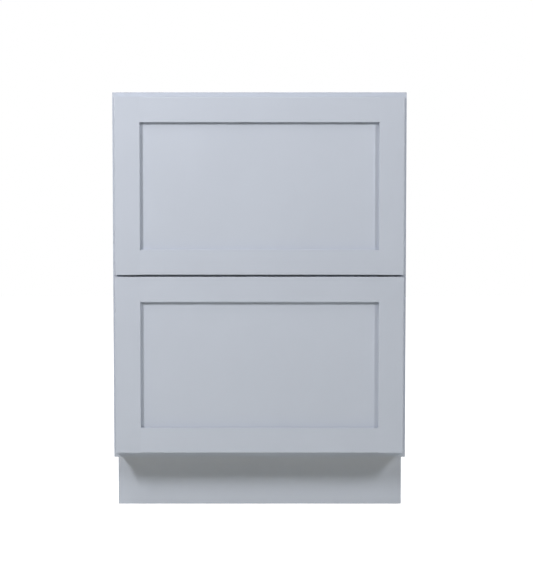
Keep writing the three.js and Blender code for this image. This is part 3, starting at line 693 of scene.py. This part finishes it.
HEAD_PROFILE = ((0.45, 1.0), (0.82, 0.86), (1.0, 0.62))  # shares of the head's height and radius
CROSS_REACH = 0.46  # of the head's radius
CROSS_HALF_WIDTH = 0.12
CROSS_FLOOR_HEIGHT = 0.35  # of the head's height
CROSS_FLOOR_SIZE = 0.6  # of its size at the top
SHANK_TIP = 0.6  # of the shank's radius


def kept(shape, name):
    """A finished shape as a mesh."""
    mesh = bpy.data.meshes.new(name)
    shape.to_mesh(mesh)
    shape.free()
    return mesh


def screw_shape(head_radius, head_height, shank_radius, length):
    """One screw, its head towards +Z and the underside of its head at the origin."""
    shape = bmesh.new()
    # Twelve corners round the rim, turned to bridge straight to the twelve corners of the cross
    turn = Matrix.Rotation(math.radians(-15), 4, "Z")
    bmesh.ops.create_circle(shape, cap_ends=True, segments=12, radius=head_radius, matrix=turn)
    bmesh.ops.reverse_faces(shape, faces=shape.faces[:])
    ring = shape.edges[:]
    for rise, width in HEAD_PROFILE:
        grown = bmesh.ops.extrude_edge_only(shape, edges=ring)["geom"]
        ring = [item for item in grown if isinstance(item, bmesh.types.BMEdge)]
        for vert in [item for item in grown if isinstance(item, bmesh.types.BMVert)]:
            around = Vector((vert.co.x, vert.co.y)).normalized() * head_radius * width
            vert.co = (around.x, around.y, head_height * rise)

    reach, half = head_radius * CROSS_REACH, head_radius * CROSS_HALF_WIDTH
    cross = []
    for quarter in range(4):
        spun = Matrix.Rotation(quarter * math.pi / 2, 3, "Z")
        for x, y in ((reach, -half), (reach, half), (half, half)):
            cross.append(shape.verts.new(spun @ Vector((x, y, head_height))))
    recess = [shape.edges.new((cross[i - 1], cross[i])) for i in range(len(cross))]
    bmesh.ops.bridge_loops(shape, edges=ring + recess)
    sunk = bmesh.ops.extrude_edge_only(shape, edges=recess)["geom"]
    for vert in [item for item in sunk if isinstance(item, bmesh.types.BMVert)]:
        vert.co.x *= CROSS_FLOOR_SIZE
        vert.co.y *= CROSS_FLOOR_SIZE
        vert.co.z = head_height * CROSS_FLOOR_HEIGHT
    floor_edges = [item for item in sunk if isinstance(item, bmesh.types.BMEdge)]
    bmesh.ops.contextual_create(shape, geom=floor_edges)

    bmesh.ops.create_cone(
        shape,
        cap_ends=True,
        segments=8,
        radius1=shank_radius * SHANK_TIP,
        radius2=shank_radius,
        depth=length,
        matrix=Matrix.Translation((0, 0, -length / 2)),
    )
    bmesh.ops.recalc_face_normals(shape, faces=shape.faces)
    return kept(shape, "one_screw")


def spread(small_part, places):
    """A copy of a small part at each place, its Z along the direction, and turned round its Z."""
    shape = bmesh.new()
    for place, direction, turn in places:
        first = len(shape.verts)
        shape.from_mesh(small_part)
        shape.verts.ensure_lookup_table()
        facing = Vector(direction).to_track_quat("Z", "Y").to_matrix().to_4x4()
        matrix = Matrix.Translation(place) @ facing @ Matrix.Rotation(turn, 4, "Z")
        bmesh.ops.transform(shape, matrix=matrix, verts=shape.verts[first:])
    return shape


screw_zinc = zinc("zinc_on_screws", "Z")
front_screw = screw_shape(head_radius=0.0048, head_height=0.0024, shank_radius=0.0019, length=0.022)
rail_screw = screw_shape(head_radius=0.0034, head_height=0.0018, shank_radius=0.0015, length=0.014)
bracket_screw = screw_shape(head_radius=0.0038, head_height=0.0021, shank_radius=0.0017, length=0.009)
lock_screw = screw_shape(head_radius=0.0019, head_height=0.0009, shank_radius=0.0014, length=0.009)

FRONT_SCREW_X = 0.184065
FRONT_SCREW_EDGE = 0.048  # from the box front's lower and upper edges
RAIL_SCREW_INSET = 0.0018  # from the stile's edge to the seat of the screw's head
RAIL_SCREW_BACK = 0.0095  # behind the face frame's face
RAIL_SCREW_RISE = 0.0052  # above the rail's underside
BRACKET_SCREW_INSETS = (0.0083, 0.034)  # from the stile's edge
BRACKET_SCREW_DROP = 0.011  # below the bracket's top
BRACKET_WALL = 0.0027
LOCK_SCREW_INSET = 0.0648  # from the stile's edge
LOCK_SCREW_EDGE = 0.0075  # from the ends of the locking device
LOCK_SCREW_SINK = 0.0013
BACKWARDS, FORWARDS, DOWNWARDS = (0, 1, 0), (0, -1, 0), (0, 0, -1)

stile_edge_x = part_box("face_stile_right")[0].x
rail_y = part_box("face_stile_right")[0].y + RAIL_SCREW_BACK

# Each screw is left at a turn of its own, worked out from its place
for drawer in ("lower", "upper"):
    box_low, box_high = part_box(f"{drawer}_box_front")
    rail_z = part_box(f"{drawer}_runner_rail_right")[0].z + RAIL_SCREW_RISE
    bracket_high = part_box(f"{drawer}_runner_bracket_right")[1]
    bracket_y, bracket_z = bracket_high.y - BRACKET_WALL, bracket_high.z - BRACKET_SCREW_DROP
    lock_low, lock_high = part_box(f"{drawer}_locking_device_right")
    in_fronts, in_rails, in_brackets, in_locks = [], [], [], []
    for outward in (-1, 1):
        x = outward * FRONT_SCREW_X
        for z in (box_low.z + FRONT_SCREW_EDGE, box_high.z - FRONT_SCREW_EDGE):
            in_fronts.append(((x, box_high.y, z), BACKWARDS, 0.4 + 9 * x + 5 * z))
        x = outward * (stile_edge_x - RAIL_SCREW_INSET)
        in_rails.append(((x, rail_y, rail_z), (-outward, 0, 0), 0.3 * outward))
        for inset in BRACKET_SCREW_INSETS:
            x = outward * (stile_edge_x - inset)
            in_brackets.append(((x, bracket_y, bracket_z), FORWARDS, 0.2 + 20 * inset * outward))
        x = outward * (stile_edge_x - LOCK_SCREW_INSET)
        for y in (lock_low.y + LOCK_SCREW_EDGE, lock_high.y - LOCK_SCREW_EDGE):
            in_locks.append(((x, y, lock_low.z + LOCK_SCREW_SINK), DOWNWARDS, 3 * y))
    for name, screw, places, body in [
        ("front_screws", front_screw, in_fronts, f"{drawer}_drawer"),
        ("runner_rail_screws", rail_screw, in_rails, "cabinet"),
        ("bracket_screws", bracket_screw, in_brackets, "cabinet"),
        ("lock_screws", lock_screw, in_locks, f"{drawer}_drawer"),
    ]:
        lay(spread(screw, places), f"{drawer}_{name}", body, [screw_zinc])

# ------------------------------------------------------------------------------------------------
# The staples: coated wire, shot from behind through the hanging rail into the back, and slantwise
# through the corner blocks into the boards round them, with only the crown left showing.

STAPLE_CROWN = 0.0105
STAPLE_WIRE = 0.0011
STAPLE_ARRIS = 0.0003
STAPLE_SINK = 0.0003
STAPLE_SHAKE = 0.004  # how far one strays from its row
STAPLE_LEAN = 0.12
RAIL_STAPLE_PITCH = 0.12
RAIL_STAPLE_EDGE = 0.02  # from the hanging rail's lower and upper edges
BLOCK_STAPLE_EDGE = 0.0055  # from the board that the block is glued to
BLOCK_STAPLE_STEPS = (0.028, 0.066)  # from the corner
ALONG_SIDE, ALONG_WALL = 1.5, 0.06  # radians, not quite square, as they were shot by hand
UPWARDS = (0, 0, 1)

staple = bmesh.new()
bmesh.ops.create_cube(staple, size=1)
bmesh.ops.scale(staple, verts=staple.verts, vec=(STAPLE_CROWN, STAPLE_WIRE, STAPLE_WIRE))
ease(staple, STAPLE_ARRIS)
one_staple = kept(staple, "one_staple")

rail_low, rail_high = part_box("hanging_rail")
in_hanging_rail = []
for column in (-2, -1, 0, 1, 2):
    x = column * RAIL_STAPLE_PITCH
    for z in (rail_low.z + RAIL_STAPLE_EDGE, rail_high.z - RAIL_STAPLE_EDGE):
        shaken_x = x + STAPLE_SHAKE * math.sin(60 * z)
        lean = STAPLE_LEAN * math.sin(91 * x + 37 * z)
        in_hanging_rail.append(((shaken_x, rail_high.y - STAPLE_SINK, z), BACKWARDS, lean))
lay(spread(one_staple, in_hanging_rail), "hanging_rail_staples", "cabinet", [screw_zinc])

in_blocks = []
for corner in corners:
    low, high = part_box(f"corner_block_{corner}")
    side_x, inward = (low.x, 1) if "left" in corner else (high.x, -1)
    wall_y, away = (low.y, 1) if "front" in corner else (high.y, -1)
    z = high.z - STAPLE_SINK
    for step in BLOCK_STAPLE_STEPS:
        at_side = (side_x + inward * BLOCK_STAPLE_EDGE, wall_y + away * step, z)
        at_wall = (side_x + inward * step, wall_y + away * BLOCK_STAPLE_EDGE, z)
        in_blocks += [(at_side, UPWARDS, ALONG_SIDE), (at_wall, UPWARDS, ALONG_WALL)]
lay(spread(one_staple, in_blocks), "corner_block_staples", "cabinet", [screw_zinc])

# ------------------------------------------------------------------------------------------------
# The bumpers: soft clear pads stuck behind each corner of the drawer fronts, which meet the face
# frame when the drawer shuts.

BUMPER_RADIUS = 0.0045
BUMPER_THICKNESS = 0.00155
BUMPER_ROUNDING = 0.0005
BUMPER_INSET = 0.011  # from the drawer front's edges

bumper = bmesh.new()
bmesh.ops.create_circle(bumper, cap_ends=True, segments=20, radius=BUMPER_RADIUS)
grown = bmesh.ops.extrude_face_region(bumper, geom=bumper.faces[:])
lifted = [item for item in grown["geom"] if isinstance(item, bmesh.types.BMVert)]
bmesh.ops.translate(bumper, verts=lifted, vec=(0, 0, BUMPER_THICKNESS))
bmesh.ops.recalc_face_normals(bumper, faces=bumper.faces)
ease(
    bumper,
    BUMPER_ROUNDING,
    segments=3,
    wanted=lambda edge: all(vert.co.z > BUMPER_THICKNESS / 2 for vert in edge.verts),
)
one_bumper = kept(bumper, "one_bumper")
bumper_rubber = moulded("bumper_polyurethane", srgb(206, 209, 211))

for drawer in ("lower", "upper"):
    low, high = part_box(f"{drawer}_front_stile_right")
    places = []
    for x in (-high.x + BUMPER_INSET, high.x - BUMPER_INSET):
        for z in (low.z + BUMPER_INSET, high.z - BUMPER_INSET):
            places.append(((x, high.y, z), BACKWARDS, 0.0))
    lay(spread(one_bumper, places), f"{drawer}_front_bumpers", f"{drawer}_drawer", [bumper_rubber])

# ------------------------------------------------------------------------------------------------
# The studio: a plain pale floor, an upright soft lamp at the upper left and another at the upper
# right, a weak one above, and weak narrow ones at both sides and behind. All round it is white for
# the camera and for reflections.

WORLD_STRENGTH = 0.03


def seen_directly(tree):
    """1 for rays from the camera, in a mirror or through glass, and 0 for the light on things."""
    rays = add(tree, "ShaderNodeLightPath").outputs
    shown = maths(tree, "MAXIMUM", rays["Is Camera Ray"], rays["Is Glossy Ray"])
    return maths(tree, "MAXIMUM", shown, rays["Is Transmission Ray"])


world = bpy.data.worlds.new("studio_white")
bpy.context.scene.world = world
world.use_nodes = True
world.node_tree.nodes.clear()
tree = world.node_tree
fill_light = add(tree, "ShaderNodeBackground", {"Color": (0.95, 0.98, 1, 1), "Strength": WORLD_STRENGTH})
white = add(tree, "ShaderNodeBackground", {"Color": (1, 1, 1, 1), "Strength": 1.0})
either = {0: seen_directly(tree), 1: fill_light.outputs[0], 2: white.outputs[0]}
around = add(tree, "ShaderNodeMixShader", either)
add(tree, "ShaderNodeOutputWorld", {"Surface": around.outputs[0]})

FLOOR_HALF = 4.5
FLOOR_DROP = 0.0008  # below the cabinet's underside, so that the two never share a plane
NEAR, FAR = 0.9, 2.6  # metres from the middle of the floor
NEAR_GLOW = 0.86  # the lamps add the rest
FAR_GLOW = 1.0

floor_shape = bmesh.new()
bmesh.ops.create_grid(floor_shape, x_segments=1, y_segments=1, size=FLOOR_HALF)
bmesh.ops.translate(floor_shape, verts=floor_shape.verts, vec=(0, 0, -FLOOR_DROP))
floor_mesh = kept(floor_shape, "floor")
floor = bpy.data.objects.new("floor", floor_mesh)
bpy.context.scene.collection.objects.link(floor)

floor_paint = bpy.data.materials.new("floor_white")
floor_paint.use_nodes = True
tree = floor_paint.node_tree
tree.nodes.clear()
shown = seen_directly(tree)
under_light = add(tree, "ShaderNodeBsdfDiffuse", {"Color": (0.8, 0.81, 0.75, 1)})
pale = add(tree, "ShaderNodeBsdfDiffuse", {"Color": (0.95, 0.95, 0.95, 1)})
point = add(tree, "ShaderNodeTexCoord").outputs["Object"]
away = add(tree, "ShaderNodeVectorMath", {0: point}, operation="LENGTH").outputs["Value"]
strength = ramped(tree, away, NEAR, FAR, NEAR_GLOW, FAR_GLOW)
glow = add(tree, "ShaderNodeEmission", {"Color": (1, 1, 1, 1), "Strength": strength})
white_floor = add(tree, "ShaderNodeAddShader", {0: pale.outputs[0], 1: glow.outputs[0]})
sides = {0: shown, 1: under_light.outputs[0], 2: white_floor.outputs[0]}
upper_side = add(tree, "ShaderNodeMixShader", sides)

# From below, the camera looks through the floor
clear = add(tree, "ShaderNodeBsdfTransparent")
from_below = maths(tree, "MULTIPLY", add(tree, "ShaderNodeNewGeometry").outputs["Backfacing"], shown)
sides = {0: from_below, 1: upper_side.outputs[0], 2: clear.outputs[0]}
one_sided = add(tree, "ShaderNodeMixShader", sides)
add(tree, "ShaderNodeOutputMaterial", {"Surface": one_sided.outputs[0]})
floor_mesh.materials.append(floor_paint)

MIDDLE = (0, -0.3, 0.5)  # of the front
LEFT_CORNER = (-0.35, -0.3, 0.95)  # just past the front's upper left corner
ABOVE_LEFT = (-0.3, -0.3, 1.1)
PLAIN, PINKISH = (1.0, 1.0, 1.0), (1.0, 0.99, 1.0)

# Each lamp's place, what it is aimed at, its width, height, watts and colour, and its spread in
# degrees
lamps = [
    ("key_light", (-1.7, -2.5, 2.1), LEFT_CORNER, 0.3, 0.75, 24.4, PINKISH, 120),
    ("second_light", (2.25, -2.75, 2.12), ABOVE_LEFT, 0.3, 0.75, 11.7, PLAIN, 80),
    ("upper_light", (-0.9, -1.1, 2.3), MIDDLE, 0.6, 0.6, 8.2, PINKISH, 180),
    ("left_light", (-3.4, 1.1, 1.3), MIDDLE, 2.0, 2.0, 5.3, PLAIN, 60),
    ("right_light", (3.4, 1.1, 1.3), MIDDLE, 2.0, 2.0, 8.4, PLAIN, 60),
    ("back_light", (0.2, 4.0, 1.9), MIDDLE, 2.0, 2.0, 9, PLAIN, 60),
]
for name, place, target, width, height, power, colour, angle in lamps:
    light = bpy.data.lights.new(name, "AREA")
    light.shape = "RECTANGLE"
    light.size = width
    light.size_y = height
    light.energy = power
    light.color = colour
    light.spread = math.radians(angle)
    lamp = bpy.data.objects.new(name, light)
    bpy.context.scene.collection.objects.link(lamp)
    lamp.location = place
    lamp.rotation_mode = "QUATERNION"
    lamp.rotation_quaternion = (Vector(target) - Vector(place)).to_track_quat("-Z", "Y")

# The camera: straight in front, just below the height of the top edge, and dipped a little
CAMERA_PLACE = (0.0145, -4.5277, 0.85)
CAMERA_DIP = 4.234  # degrees below level
SENSOR_WIDTH = 36  # millimetres, as the lens
LENS = 137.76
SHIFT_UP = -0.06  # of the picture's width
camera_data = bpy.data.cameras.new("camera")
camera_data.sensor_fit = "HORIZONTAL"
camera_data.sensor_width = SENSOR_WIDTH
camera_data.lens = LENS
camera_data.shift_y = SHIFT_UP
camera = bpy.data.objects.new("camera", camera_data)
bpy.context.scene.collection.objects.link(camera)
camera.location = CAMERA_PLACE
camera.rotation_euler = (math.radians(90 - CAMERA_DIP), 0, 0)
bpy.context.scene.camera = camera
bpy.context.scene.view_settings.view_transform = "Standard"
